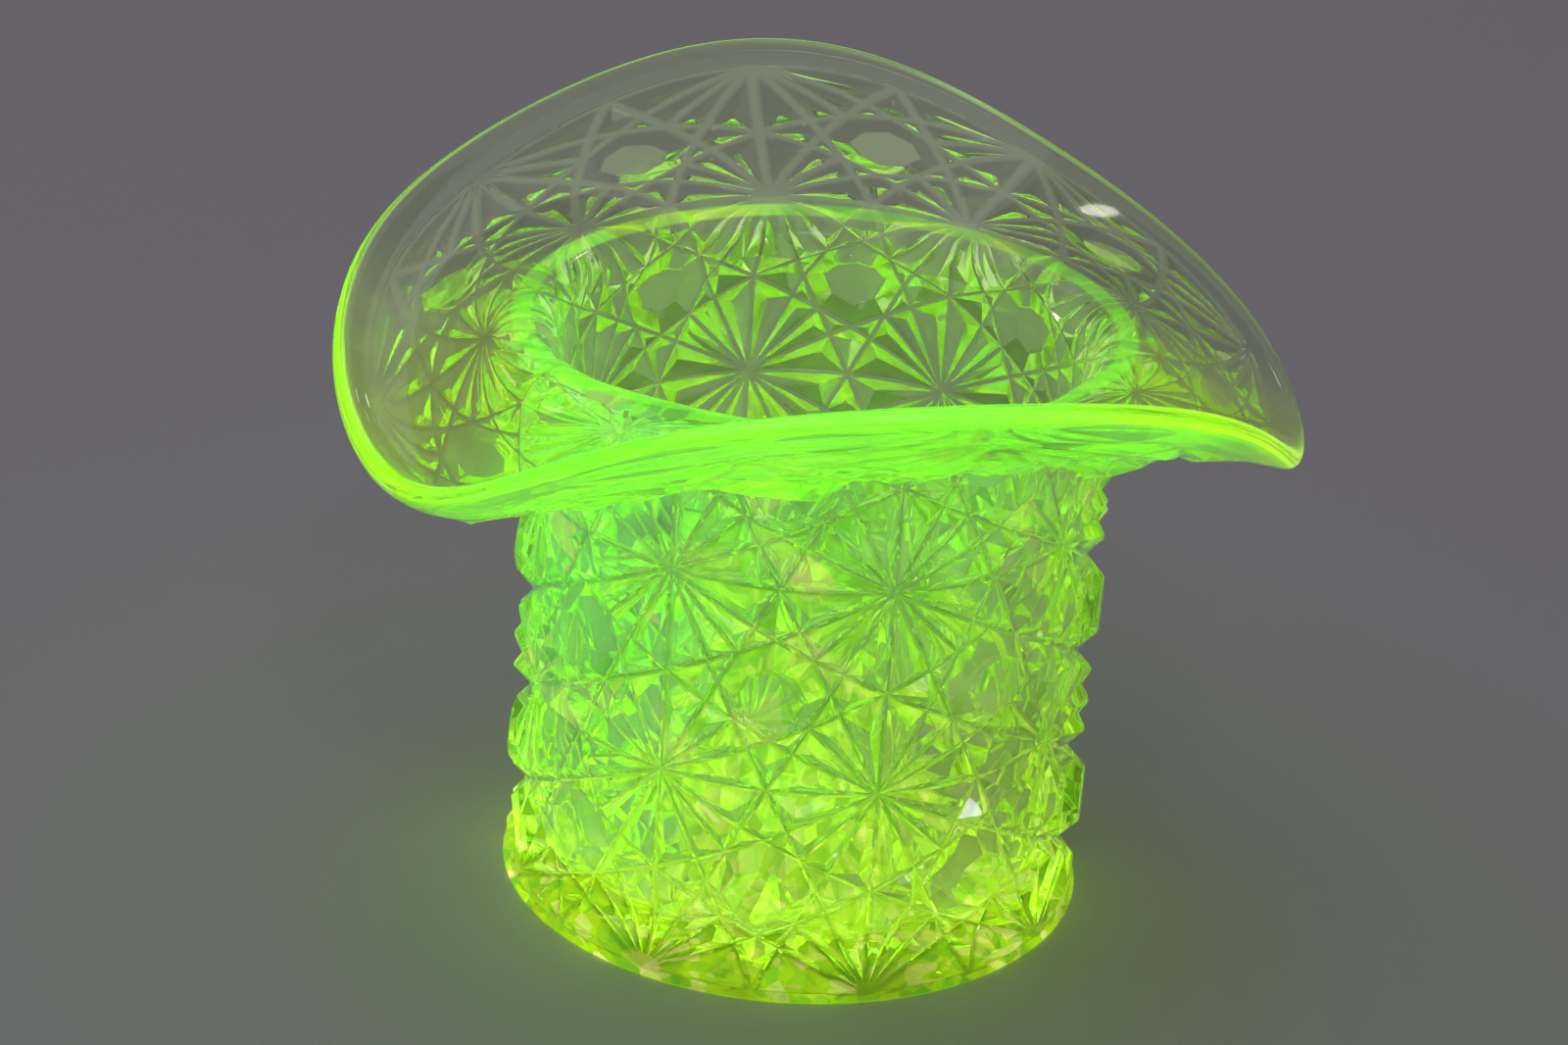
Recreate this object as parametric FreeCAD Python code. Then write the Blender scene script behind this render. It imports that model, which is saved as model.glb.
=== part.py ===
"""Pressed glass top hat: a straight crown that stands as a cup, mouth up, and a brim rolled front and back.

Millimetres, +Z up. The origin is the middle of the face that the hat stands on, and -Y is the front.
Angles are in degrees from the front, seen from above, positive towards +X. The relief follows a grid of
cells, eight round the crown: a daisy of sixteen petals on every corner and a button in every cell.
"""
import FreeCAD, Part
import math
import os

# Crown
BUTTON_TOP_RADIUS = 36.0       # over the tops of the relief
RELIEF_DEPTH = 2.6             # from the tops of the relief down to the smooth wall behind it
WALL_THICKNESS = 2.2           # smooth wall behind the relief
BASE_THICKNESS = 5.0
FOOT_EDGE_HEIGHT = 0.4         # of the foot's outer edge, which reaches as far out as the relief
FOOT_BEVEL = 0.4

# Star pressed into the underside of the base
STAR_RAYS = 16
STAR_RADIUS = 27.0
STAR_HUB_RADIUS = 4.0
STAR_WIDEST_RADIUS = 20.0
STAR_RAY_WIDTH = 5.0
STAR_DEPTH = 1.2

# Relief of the crown
COLUMNS = 8
FIRST_COLUMN_ANGLE = -27.9
ROW_PITCH = 26.0
FOOT_ROW_HEIGHT = 1.0          # height of the first row of daisy centres
GROOVE_WIDTH = 0.3             # between one figure of the relief and the next
GROOVE_FLOOR_HEIGHT = 0.5      # glass left under the grooves, on the smooth wall
PETAL_CREST_PLACE = 0.72       # highest point of a petal, as a share of the way out from the centre
KITE_HEIGHT = 2.0              # crests above the smooth wall
SPLINTER_HEIGHT = 1.5
BUTTON_FACE_INRADIUS = 3.9

# Mouth and brim
MOUTH_HEIGHT = 74.0            # top of the glass where the mouth turns over into the brim
FLARE_HEIGHT = 8.0             # from there down to the straight wall
MOUTH_RING_RADIUS = 36.0       # radius at which that height is taken
FLARE_RADIUS = 38.5            # outer limit of the flare round the mouth
BRIM_ROOT_THICKNESS = 3.4
BRIM_EDGE_THICKNESS = 3.0
RIM_RADIUS = 59.4              # mean values of the rim's radius and height
RIM_HEIGHT = 73.8
MARGIN_WIDTH = 2.4             # plain glass between the relief and the rim

# How the brim was bent by hand: rolled up front and back, pulled out of round and let sag. Each wave round
# the rim is its share of the depth, how often it comes round, and the angle of a crest.
ROLL_DEPTH = 12.9
ROLL_WAVES = [(0.14, 1, 172.0), (1.0, 2, 15.0), (0.124, 3, 21.0), (0.062, 4, -17.0), (0.07, 5, -25.0)]
PULL_DEPTH = 1.7
PULL_WAVES = [(0.94, 1, 145.0), (0.53, 2, 30.0), (1.0, 3, 9.0), (0.24, 4, 37.0), (0.29, 5, -22.0)]
SAG_DEPTH = 4.3                # of the brim below a straight line from mouth to rim, where it is most
SAG_ANGLE = -45.0

# Buttons under the brim
BRIM_BUTTON_HEIGHT = 1.6
BRIM_BUTTON_FOOT_INRADIUS = 5.0
BRIM_BUTTON_FACE_INRADIUS = 3.4
BRIM_TWIST = 3.6               # degrees by which the relief of the brim lags behind the crown's, at the back
BRIM_CROWDING = 9.3            # most degrees by which bending the brim moved its relief towards one side
CROWDED_ANGLE = -172.0

# How the curves are drawn
SAG_PLACE = 2 / 3              # where the sag is deepest, as a share of the way out to the rim
FLARE_RISE_INSIDE = 0.85       # pull of the wall's direction on the flare, as a share of its height
FLARE_RISE_OUTSIDE = 0.55
FLARE_RUN = 0.75               # pull of the brim's direction, as a share of the flare's width
ROUNDING = 2 / 3               # control point distance of a half-round edge, as a share of its thickness
POINTS_ROUND = 48              # control points round the hat
CLEAR = 20.0                   # beyond every piece, for the tools that trim

CROWN_WALL_HEIGHT = MOUTH_HEIGHT - FLARE_HEIGHT
WALL_RADIUS = BUTTON_TOP_RADIUS - RELIEF_DEPTH
INNER_RADIUS = WALL_RADIUS - WALL_THICKNESS
CELL_ANGLE = 360.0 / COLUMNS
CELL_WIDTH = math.radians(CELL_ANGLE) * BUTTON_TOP_RADIUS
AXIS = FreeCAD.Vector(0, 0, 1)
CENTRE = FreeCAD.Vector(0, 0, 0)


def at(radius, angle, height):
    turn = math.radians(angle)
    return FreeCAD.Vector(radius * math.sin(turn), -radius * math.cos(turn), height)


def cylinder(radius, low, high):
    return Part.makeCylinder(radius, high - low, FreeCAD.Vector(0, 0, low), AXIS)


def closed_solid(faces):
    shell = Part.makeShell(faces)
    shell.sewShape()
    solid = Part.makeSolid(shell)
    if solid.Volume < 0:
        solid.reverse()
    return solid


def flat_sided_solid(polygons):
    return closed_solid([Part.Face(Part.makePolygon([*corners, corners[0]])) for corners in polygons])


def round_the_axis(shape, count):
    """Copies of a shape, evenly round the axis."""
    copies = []
    for place in range(count):
        copy = shape.copy()
        copy.rotate(CENTRE, AXIS, 360.0 / count * place)
        copies.append(copy)
    return Part.makeCompound(copies)


def pairs(points):
    """Each point with the next one, round a closed outline."""
    return zip(points, points[1:] + points[:1])


# Base and wall

def star_ray():
    """Four-cornered cut with one deep point, from the hub out to the tip."""
    tip = at(STAR_RADIUS, 0, 0)
    hub = at(STAR_HUB_RADIUS, 0, 0)
    half_width = FreeCAD.Vector(STAR_RAY_WIDTH / 2, 0, 0)
    widest = at(STAR_WIDEST_RADIUS, 0, 0)
    deep = widest + AXIS * STAR_DEPTH
    outline = [hub, widest + half_width, tip, widest - half_width]
    return flat_sided_solid([outline] + [(a, b, deep) for a, b in pairs(outline)])


def base_plate():
    """Disc with a star cut into its underside, and a foot that slopes out from under the first row."""
    groove_radius = WALL_RADIUS + GROOVE_FLOOR_HEIGHT
    profile = [(0, 0), (BUTTON_TOP_RADIUS - FOOT_BEVEL, 0), (BUTTON_TOP_RADIUS, FOOT_EDGE_HEIGHT),
               (groove_radius, FOOT_ROW_HEIGHT), (WALL_RADIUS, FOOT_ROW_HEIGHT),
               (WALL_RADIUS, BASE_THICKNESS), (0, BASE_THICKNESS)]
    outline = Part.makePolygon([at(radius, 0, height) for radius, height in profile + profile[:1]])
    disc = Part.Face(outline).revolve(CENTRE, AXIS, 360)
    return disc.cut(round_the_axis(star_ray(), STAR_RAYS))


def crown_wall():
    outside = cylinder(WALL_RADIUS, BASE_THICKNESS, CROWN_WALL_HEIGHT)
    return outside.cut(cylinder(INNER_RADIUS, BASE_THICKNESS, CROWN_WALL_HEIGHT))


# Relief of the crown. A figure is drawn in cells about its own centre: x round the crown, y up it.

def four_times(quarter):
    """Outline of a figure from its first quarter."""
    points = [FreeCAD.Vector(x, y, 0) for x, y in quarter]
    return [FreeCAD.Rotation(AXIS, 90.0 * turn).multVec(p) for turn in range(4) for p in points]


def parted(outline):
    """The outline drawn in by half a groove."""
    return [p * (1 - GROOVE_WIDTH / CELL_WIDTH) for p in outline]


def peak(outline, crest, level):
    """Triangles from a groove round the outline up to a crest."""
    return [((a, GROOVE_FLOOR_HEIGHT), (b, GROOVE_FLOOR_HEIGHT), (crest, level)) for a, b in pairs(outline)]


def on_crown(point, level, row):
    """Place on the crown of a point of the figure in the first column, at a height above the wall."""
    radius = WALL_RADIUS + level
    return at(radius, point.x * CELL_ANGLE, FOOT_ROW_HEIGHT + (row + point.y) * ROW_PITCH)


def figure_row(first_column, row, outline, top):
    """One row of a figure: its top, its sides down into the wall, and the wall trimmed away."""
    sunk = -WALL_THICKNESS / 2
    skin = [[on_crown(p, level, row) for p, level in corners] for corners in top]
    for a, b in pairs(outline):
        a_top, b_top = on_crown(a, GROOVE_FLOOR_HEIGHT, row), on_crown(b, GROOVE_FLOOR_HEIGHT, row)
        a_low, b_low = on_crown(a, sunk, row), on_crown(b, sunk, row)
        skin += [(a_top, a_low, b_low), (a_top, b_low, b_top), (on_crown(CENTRE, sunk, row), b_low, a_low)]
    wall = cylinder(WALL_RADIUS, -CLEAR, CROWN_WALL_HEIGHT + CLEAR)
    band = cylinder(BUTTON_TOP_RADIUS + CLEAR, FOOT_ROW_HEIGHT, CROWN_WALL_HEIGHT)
    figure = flat_sided_solid(skin).cut(wall).common(band)
    figure.rotate(CENTRE, AXIS, FIRST_COLUMN_ANGLE + first_column * CELL_ANGLE)
    return round_the_axis(figure, COLUMNS)


def daisy_row(row):
    """Sixteen petals each, with a crest, parted by grooves that run together at the centre."""
    outline = parted(four_times([(1 / 2, 0), (2 / 5, 1 / 5), (1 / 3, 1 / 3), (1 / 5, 2 / 5)]))
    top = []
    for a, b in pairs(outline):
        top += peak([CENTRE, a, b], (a + b) / 2 * PETAL_CREST_PLACE, RELIEF_DEPTH)
    return figure_row(0, row, outline, top)


def button_row(row):
    """Flat-topped octagons, each in a star whose four arms hold a kite and two splinters."""
    arm, notch = (1 / 2, 0), (1 / 6, 1 / 6)
    outline = parted(four_times([arm, (3 / 10, 1 / 10), notch, (1 / 10, 3 / 10)]))
    foot = parted(four_times([(1 / 4, 0), notch]))
    reach = BUTTON_FACE_INRADIUS / math.cos(math.pi / 8)
    face = []
    for corner in range(8):
        turn = math.radians(45.0 * corner)
        across = math.degrees(math.atan(reach * math.cos(turn) / BUTTON_TOP_RADIUS))
        point = FreeCAD.Vector(across / CELL_ANGLE, reach * math.sin(turn) / ROW_PITCH, 0)
        level = BUTTON_TOP_RADIUS / math.cos(math.radians(across)) - WALL_RADIUS
        face.append((point, level))
    top = [face]
    for (a, b), (c, d) in zip(pairs(foot), pairs(face)):
        top += [((a, GROOVE_FLOOR_HEIGHT), (b, GROOVE_FLOOR_HEIGHT), c), ((b, GROOVE_FLOOR_HEIGHT), d, c)]
    for side in range(4):
        tip, left, right = outline[4 * side], outline[4 * side - 1], outline[4 * side + 1]
        inner, corner, next_corner = foot[2 * side], foot[2 * side - 1], foot[2 * side + 1]
        top += peak([inner, left, tip, right], (tip + inner) / 2, KITE_HEIGHT)
        for splinter in ([inner, corner, left], [inner, right, next_corner]):
            top += peak(splinter, (splinter[0] + splinter[1] + splinter[2]) / 3, SPLINTER_HEIGHT)
    return figure_row(1 / 2, row, outline, top)


# Mouth and brim. Across the glass everything is drawn in pairs of radius and height, as 2D vectors.

def waves(angle, terms):
    return sum(share * math.cos(math.radians(times * (angle - crest))) for share, times, crest in terms)


def rim_place(angle):
    """Middle of the rounded edge."""
    radius = RIM_RADIUS - BRIM_EDGE_THICKNESS / 2 + PULL_DEPTH * waves(angle, PULL_WAVES)
    return FreeCAD.Vector(radius, RIM_HEIGHT + ROLL_DEPTH * waves(angle, ROLL_WAVES), 0)


def brim_place(angle, way):
    """Middle of the brim's glass, and its direction outwards, part of the way from mouth to rim."""
    root = FreeCAD.Vector(MOUTH_RING_RADIUS, MOUTH_HEIGHT - BRIM_ROOT_THICKNESS / 2, 0)
    span = rim_place(angle) - root
    sag = SAG_DEPTH * (1 + math.cos(math.radians(angle - SAG_ANGLE))) / 2
    sag /= SAG_PLACE ** 2 * (1 - SAG_PLACE)
    drop = FreeCAD.Vector(0, sag * way ** 2 * (1 - way), 0)
    steeper = FreeCAD.Vector(0, sag * (2 * way - 3 * way ** 2), 0)
    return root + span * way - drop, span - steeper


def brim_skin(angle, way, side):
    """Point of the upper (side 1) or lower (side -1) skin, and the direction there."""
    middle, direction = brim_place(angle, way)
    thickness = BRIM_ROOT_THICKNESS + (BRIM_EDGE_THICKNESS - BRIM_ROOT_THICKNESS) * way
    normal = FreeCAD.Vector(-direction.y, direction.x, 0).normalize()
    return middle + normal * (side * thickness / 2), direction


def way_at_flare(angle):
    return (FLARE_RADIUS - MOUTH_RING_RADIUS) / (rim_place(angle).x - MOUTH_RING_RADIUS)


def way_at_margin(angle):
    return 1 - MARGIN_WIDTH / (rim_place(angle).x - MOUTH_RING_RADIUS)


def way_at_rim(angle):
    return 1.0


def flare_curve(side):
    """Curve from the straight wall to the brim, on one side of the glass, at each angle."""
    radius, pull = {1: (INNER_RADIUS, FLARE_RISE_INSIDE), -1: (WALL_RADIUS, FLARE_RISE_OUTSIDE)}[side]

    def curve(angle):
        start = FreeCAD.Vector(radius, CROWN_WALL_HEIGHT, 0)
        end, direction = brim_skin(angle, way_at_flare(angle), side)
        rise = FreeCAD.Vector(0, (end.y - start.y) * pull, 0)
        run = direction.normalize() * ((end.x - start.x) * FLARE_RUN)
        return [start, start + rise, end - run, end]
    return curve


def brim_curve(side, way_from, way_to):
    """Curve along one side of the brim's glass, at each angle."""
    def curve(angle):
        first, last = way_from(angle), way_to(angle)
        start, start_direction = brim_skin(angle, first, side)
        end, end_direction = brim_skin(angle, last, side)
        third = (last - first) / 3
        return [start, start + start_direction * third, end - end_direction * third, end]
    return curve


def straight_across(one, other, end):
    """Straight line through the glass, between the first (end 0) or last (end -1) points of two curves."""
    return lambda angle: [one(angle)[end], other(angle)[end]]


def rounded_edge(one, other):
    """Half round from the end of one curve to the end of the other."""
    def curve(angle):
        start, end = one(angle)[-1], other(angle)[-1]
        out = brim_place(angle, 1.0)[1].normalize() * (BRIM_EDGE_THICKNESS * ROUNDING)
        return [start, start + out, end + out, end]
    return curve


def ring_face(curve):
    """Face swept all the way round the hat from a curve that changes with the angle."""
    step = 360.0 / POINTS_ROUND
    spread = 3 / (2 + math.cos(math.radians(step)))    # so that a ring of control points keeps its radius
    poles = []
    for place in range(POINTS_ROUND):
        angle = step * place
        poles.append([at(p.x * spread, angle, p.y) for p in curve(angle)])
    degree = len(poles[0]) - 1
    surface = Part.BSplineSurface()
    surface.buildFromPolesMultsKnots(
        poles, [1] * (POINTS_ROUND + 1), [degree + 1] * 2,
        list(range(POINTS_ROUND + 1)), [0, 1], True, False, 3, degree)
    return surface.toShape()


def ring_solid(upper, lower, outer_edge=None):
    outer = outer_edge or straight_across(upper, lower, -1)
    inner = straight_across(upper, lower, 0)
    return closed_solid([ring_face(curve) for curve in (upper, lower, inner, outer)])


def mouth_flare():
    return ring_solid(flare_curve(1), flare_curve(-1))


def brim_skirt():
    upper = brim_curve(1, way_at_flare, way_at_margin)
    lower = brim_curve(-1, way_at_flare, way_at_margin)
    return ring_solid(upper, lower)


def brim_rim():
    upper = brim_curve(1, way_at_margin, way_at_rim)
    lower = brim_curve(-1, way_at_margin, way_at_rim)
    return ring_solid(upper, lower, rounded_edge(upper, lower))


def octagon(centre, across, along, inradius):
    reach = inradius / math.cos(math.pi / 8)
    turns = [math.radians(45.0 * corner + 22.5) for corner in range(8)]
    return Part.makePolygon([centre + (across * math.cos(t) + along * math.sin(t)) * reach
                             for t in turns + turns[:1]])


def brim_buttons(glass):
    """Flat-topped octagons under the brim, midway between the mouth and the plain margin.

    Each is drawn from inside the glass outwards, and what lies in the glass is cut away.
    """
    thickness = (BRIM_ROOT_THICKNESS + BRIM_EDGE_THICKNESS) / 2
    solids = []
    for column in range(COLUMNS):
        angle = FIRST_COLUMN_ANGLE + (column + 1 / 2) * CELL_ANGLE
        lag = BRIM_TWIST * (1 - math.cos(math.radians(angle))) / 2
        angle -= lag + BRIM_CROWDING * math.sin(math.radians(angle - CROWDED_ANGLE))
        place, direction = brim_place(angle, way_at_margin(angle) / 2)
        middle = at(place.x, angle, place.y)
        across = at(1, angle + 90, 0)
        along = at(direction.x, angle, direction.y).normalize()
        down = across.cross(along)
        low = middle + down * (thickness / 2 + BRIM_BUTTON_HEIGHT)
        high = middle + down * (thickness / 4)
        boss = Part.makeLoft([octagon(high, across, along, BRIM_BUTTON_FOOT_INRADIUS),
                              octagon(low, across, along, BRIM_BUTTON_FACE_INRADIUS)], True, True)
        for neighbour in glass:
            boss = boss.cut(neighbour)
        solids.append(boss)
    return Part.makeCompound(solids)


def main():
    os.makedirs("parts", exist_ok=True)
    nodes = {"base_plate": base_plate(), "crown_wall": crown_wall(),
             "mouth_flare": mouth_flare(), "brim_skirt": brim_skirt(), "brim_rim": brim_rim()}
    nodes["brim_buttons"] = brim_buttons([nodes["brim_skirt"], nodes["mouth_flare"], nodes["brim_rim"]])
    rows = math.ceil((CROWN_WALL_HEIGHT - FOOT_ROW_HEIGHT) / ROW_PITCH)
    for row in range(rows):
        nodes[f"daisy_row_{row + 1}"] = daisy_row(row)
        nodes[f"button_row_{row + 1}"] = button_row(row + 1 / 2)
    for name, shape in nodes.items():
        print(name, "solids", len(shape.Solids), "valid", shape.isValid(), "volume", round(shape.Volume))
        shape.exportStep(f"parts/{name}.step")


main()
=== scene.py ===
"""Pressed glass top hat standing on its crown, mouth up, glowing green as under ultraviolet light.

The hat is one body of glass, so it is one closed mesh, faceted outside and smooth inside. Sizes are in
millimetres until the mesh is made. The material, the lights and the camera are in metres. Angles are in
degrees from the front (-Y), seen from above, positive towards +X. The relief is drawn in cells: a counts
columns round the hat and k counts rows up the crown and on under the brim, with a daisy on every whole
a and k.
"""
import math
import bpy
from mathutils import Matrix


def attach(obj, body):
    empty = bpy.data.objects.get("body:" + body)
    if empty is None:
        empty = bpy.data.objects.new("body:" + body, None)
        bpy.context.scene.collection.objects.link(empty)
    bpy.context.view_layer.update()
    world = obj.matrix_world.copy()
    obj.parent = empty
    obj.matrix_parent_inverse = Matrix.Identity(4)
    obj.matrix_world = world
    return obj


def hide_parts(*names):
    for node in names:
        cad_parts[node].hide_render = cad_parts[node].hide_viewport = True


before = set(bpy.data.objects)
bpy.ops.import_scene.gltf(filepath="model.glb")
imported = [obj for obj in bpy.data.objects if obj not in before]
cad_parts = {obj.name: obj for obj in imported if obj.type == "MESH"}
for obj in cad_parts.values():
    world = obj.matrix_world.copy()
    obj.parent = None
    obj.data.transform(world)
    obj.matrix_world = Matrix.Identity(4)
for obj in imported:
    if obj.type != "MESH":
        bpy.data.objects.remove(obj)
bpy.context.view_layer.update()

from types import SimpleNamespace

import bmesh
import bpy
import numpy as np
from mathutils import Matrix, Vector

MM = 0.001

# Crown
WALL_RADIUS = 33.4
INNER_RADIUS = 31.2
FLOOR_HEIGHT = 5.0             # of the glass inside, over the table
FLOOR_ROUNDING = 3.5

# Foot, as wide as the relief
FOOT_RADIUS = 36.0
FOOT_EDGE_HEIGHT = 0.4
FOOT_BEVEL = 0.4
FOOT_FLARE_ROWS = 0.16         # the grooves run out towards the foot's edge in this much of a cell
FOOT_FLARE = 1.9
FOOT_FLARE_POWER = 1.5
FOOT_FADE = 0.8                # share of its height that the relief loses there

# Relief
COLUMNS = 8
FIRST_COLUMN_ANGLE = -27.9
CELL_ANGLE = 360.0 / COLUMNS
ROW_PITCH = 26.0
FOOT_ROW_HEIGHT = 1.0
WALL_ROWS = 2.5                # rows of cells up to the top of the straight wall
ROWS = 4                       # up to the plain margin of the brim
CELL = 27.0                    # mean size of a cell on the crown
RELIEF_HEIGHT = 2.35
GROOVE_HALF_WIDTH = 0.28       # shallow bottom of a groove
GROOVE_RISE = 0.10
WALL_SLOPE = 1.0               # of a groove's sides
CREST_ROUNDING = 0.22
PEAK_SHARE = 0.6               # a peak's height over its rounded crest, as a share of a sharp one's
GROOVE_BASE = 0.25             # groove bottoms stand this far outside the smooth wall
BRIM_RELIEF_SHARE = 0.55       # height of the relief under the brim, as a share of the crown's
EDGE_RELIEF_SHARE = 0.34       # and at the margin
TWIST_ROWS = 0.5               # of cells in which the brim's twist and lower relief set in
BASE_FADE_ROWS = 0.25          # in which the groove bottoms sink to the margin's surface
SMOOTH = 5.0                   # stands for the height over the grooves where there is no relief

# Star in the underside of the base
STAR_RAYS = 16
STAR_RADIUS = 27.0
STAR_HUB_RADIUS = 4.0
STAR_WIDEST_RADIUS = 20.0
STAR_RAY_WIDTH = 5.0
STAR_DEPTH = 1.2
STAR_CLEARANCE = 1.0           # of flat glass round the star, before the mesh gets coarser

# Mouth and brim
MOUTH_HEIGHT = 74.0
CROWN_WALL_HEIGHT = 66.0       # where the wall starts to flare
MOUTH_RING_RADIUS = 36.0
FLARE_RADIUS = 38.5
BRIM_ROOT_THICKNESS = 3.4
BRIM_EDGE_THICKNESS = 3.0
RIM_RADIUS = 59.4              # mean values of the rim's radius and height
RIM_HEIGHT = 73.8
ROLL_DEPTH = 12.9
ROLL_WAVES = ((0.14, 1, 172.0), (1.0, 2, 15.0), (0.124, 3, 21.0), (0.062, 4, -17.0), (0.07, 5, -25.0))
PULL_DEPTH = 1.7
PULL_WAVES = ((0.94, 1, 145.0), (0.53, 2, 30.0), (1.0, 3, 9.0), (0.24, 4, 37.0), (0.29, 5, -22.0))
SAG_DEPTH = 4.3
SAG_ANGLE = -45.0
SAG_PLACE = 2 / 3              # where the sag is deepest, as a share of the way out to the rim
MARGIN_WIDTH = 2.4             # mean width; the brim is stretched more at the sides
MARGIN_STRETCH = 0.9
BRIM_TWIST = 3.6               # degrees by which the brim's relief lags behind the crown's, at the back
BRIM_CROWDING = 9.3            # most degrees by which bending the brim moved its relief towards one side
CROWDED_ANGLE = -172.0
FLARE_RISE = {1: 0.85, -1: 0.55}
FLARE_RUN = 0.75

# Camera, in metres, radians and millimetres of film
CAMERA_PLACE = (0.0, -0.46548, 0.25610)
CAMERA_PITCH = 0.4235
CAMERA_YAW = -0.0074
CAMERA_ROLL = 0.0676
CAMERA_LENS = 96.29
CAMERA_CLIP = 0.01
SENSOR_WIDTH = 36.0
LIGHT_TARGET_HEIGHT = 0.045

# Fineness of the mesh
EDGE_PARTS = 4                 # of an edge between two facets
BORDER_PARTS = 12              # of one on the foot or on the margin
ROUND_PARTS = COLUMNS * 2 * BORDER_PARTS
MARGIN_RINGS = 4
EDGE_RINGS = 10
SKIRT_RINGS = 14
FLARE_RINGS = 32
WALL_RINGS = 12
CORNER_RINGS = 8
FLOOR_RINGS = 7
BEND_FROM, BEND_TO = 0.66, 0.86    # where the flare counts as the mouth's ring, as shares of the way in
WELD_DISTANCE = 1e-6           # in metres
SLIVER = 1e-7
SHARP_ANGLE = 15.0
SOFT_RADIUS = 37.0             # the brim was reheated, so its edges are soft outside this


# Profile of the brim. Points are radius and height, on the last axis.

def waves(angle, terms):
    return sum(share * np.cos(np.radians(times * (angle - crest))) for share, times, crest in terms)


def pair(radius, height):
    return np.stack(np.broadcast_arrays(radius, height), axis=-1).astype(float)


def rim_place(angle):
    return pair(RIM_RADIUS - BRIM_EDGE_THICKNESS / 2 + PULL_DEPTH * waves(angle, PULL_WAVES),
                RIM_HEIGHT + ROLL_DEPTH * waves(angle, ROLL_WAVES))


def brim_skin(angle, way, side):
    """Point and direction of the upper (1) or lower (-1) skin, part of the way from mouth to rim."""
    root = pair(MOUTH_RING_RADIUS, MOUTH_HEIGHT - BRIM_ROOT_THICKNESS / 2)
    span = rim_place(angle) - root
    depth = SAG_DEPTH * (1 + np.cos(np.radians(angle - SAG_ANGLE))) / 2
    sag = depth / (SAG_PLACE ** 2 * (1 - SAG_PLACE))
    middle = root + span * way[..., None] - pair(0, sag * way ** 2 * (1 - way))
    direction = span - pair(0, sag * (2 * way - 3 * way ** 2))
    thickness = BRIM_ROOT_THICKNESS + (BRIM_EDGE_THICKNESS - BRIM_ROOT_THICKNESS) * way
    normal = unit(pair(-direction[..., 1], direction[..., 0]))
    return middle + normal * (side * thickness / 2)[..., None], direction


def unit(vectors):
    return vectors / np.linalg.norm(vectors, axis=-1, keepdims=True)


def bezier(controls, t):
    a, b, c, d = controls
    t = t[..., None]
    return a * (1 - t) ** 3 + 3 * b * t * (1 - t) ** 2 + 3 * c * t ** 2 * (1 - t) + d * t ** 3


def way_at_flare(angle):
    return (FLARE_RADIUS - MOUTH_RING_RADIUS) / (rim_place(angle)[..., 0] - MOUTH_RING_RADIUS)


def way_at_margin(angle):
    width = MARGIN_WIDTH - MARGIN_STRETCH * np.cos(np.radians(2 * angle))
    return 1 - width / (rim_place(angle)[..., 0] - MOUTH_RING_RADIUS)


def flare(angle, side, t):
    start = pair(INNER_RADIUS if side > 0 else WALL_RADIUS, CROWN_WALL_HEIGHT + 0 * angle)
    end, direction = brim_skin(angle, way_at_flare(angle), side)
    rise = pair(0, (end - start)[..., 1] * FLARE_RISE[side])
    run = unit(direction) * ((end - start)[..., :1] * FLARE_RUN)
    return bezier((start, start + rise, end - run, end), t)


def skirt(angle, side, t):
    first, last = way_at_flare(angle), way_at_margin(angle)
    return brim_skin(angle, first + (last - first) * t, side)[0]


def margin(angle, side, t):
    first = way_at_margin(angle)
    return brim_skin(angle, first + (1 - first) * t, side)[0]


def rim_round(angle, t):
    """Half round from the lower skin to the upper."""
    low, direction = brim_skin(angle, 1 + 0 * angle, -1)
    high = brim_skin(angle, 1 + 0 * angle, 1)[0]
    out = unit(direction) * (BRIM_EDGE_THICKNESS / 2)
    turn = (math.pi * t)[..., None]
    return (low + high) / 2 + (low - high) / 2 * np.cos(turn) + out * np.sin(turn)


# Relief: a table of the lower skin from the top of the wall to the margin, even along its length

TABLE_ANGLES, TABLE_STEPS = 720, 96


def lower_skin_table():
    angle = np.arange(TABLE_ANGLES + 1) * 360.0 / TABLE_ANGLES
    t = np.linspace(0, 1, 4 * TABLE_STEPS + 1)
    angles, ts = np.meshgrid(angle, t, indexing="ij")
    line = np.concatenate([flare(angles, -1, ts), skirt(angles, -1, ts)[:, 1:]], axis=1)
    steps = np.linalg.norm(np.diff(line, axis=1), axis=-1)
    length = np.concatenate([np.zeros((len(angle), 1)), np.cumsum(steps, axis=1)], axis=1)
    wanted = np.linspace(0, 1, TABLE_STEPS + 1)
    rows = [[np.interp(wanted * far[-1], far, row[:, axis]) for axis in (0, 1)]
            for far, row in zip(length, line)]
    return np.moveaxis(np.array(rows), 1, 2)


TABLE = lower_skin_table()


def lower_skin(angle, way):
    """Point and outward normal of the lower skin, from the table."""
    row = np.mod(angle, 360.0) * TABLE_ANGLES / 360.0
    column = np.clip(way, 0, 1) * TABLE_STEPS
    i, j = np.minimum(row.astype(int), TABLE_ANGLES - 1), np.minimum(column.astype(int), TABLE_STEPS - 1)
    u, v = (row - i)[:, None], (column - j)[:, None]
    near = TABLE[i, j] * (1 - u) + TABLE[i + 1, j] * u
    far = TABLE[i, j + 1] * (1 - u) + TABLE[i + 1, j + 1] * u
    along = unit(far - near)
    return near * (1 - v) + far * v, pair(along[:, 1], -along[:, 0])


def around(profile, angle):
    """Points in space from radius and height."""
    turn = np.radians(angle)
    radius, height = profile[..., 0], profile[..., 1]
    return np.stack([radius * np.sin(turn), -radius * np.cos(turn), height + 0 * turn], axis=-1)


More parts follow.
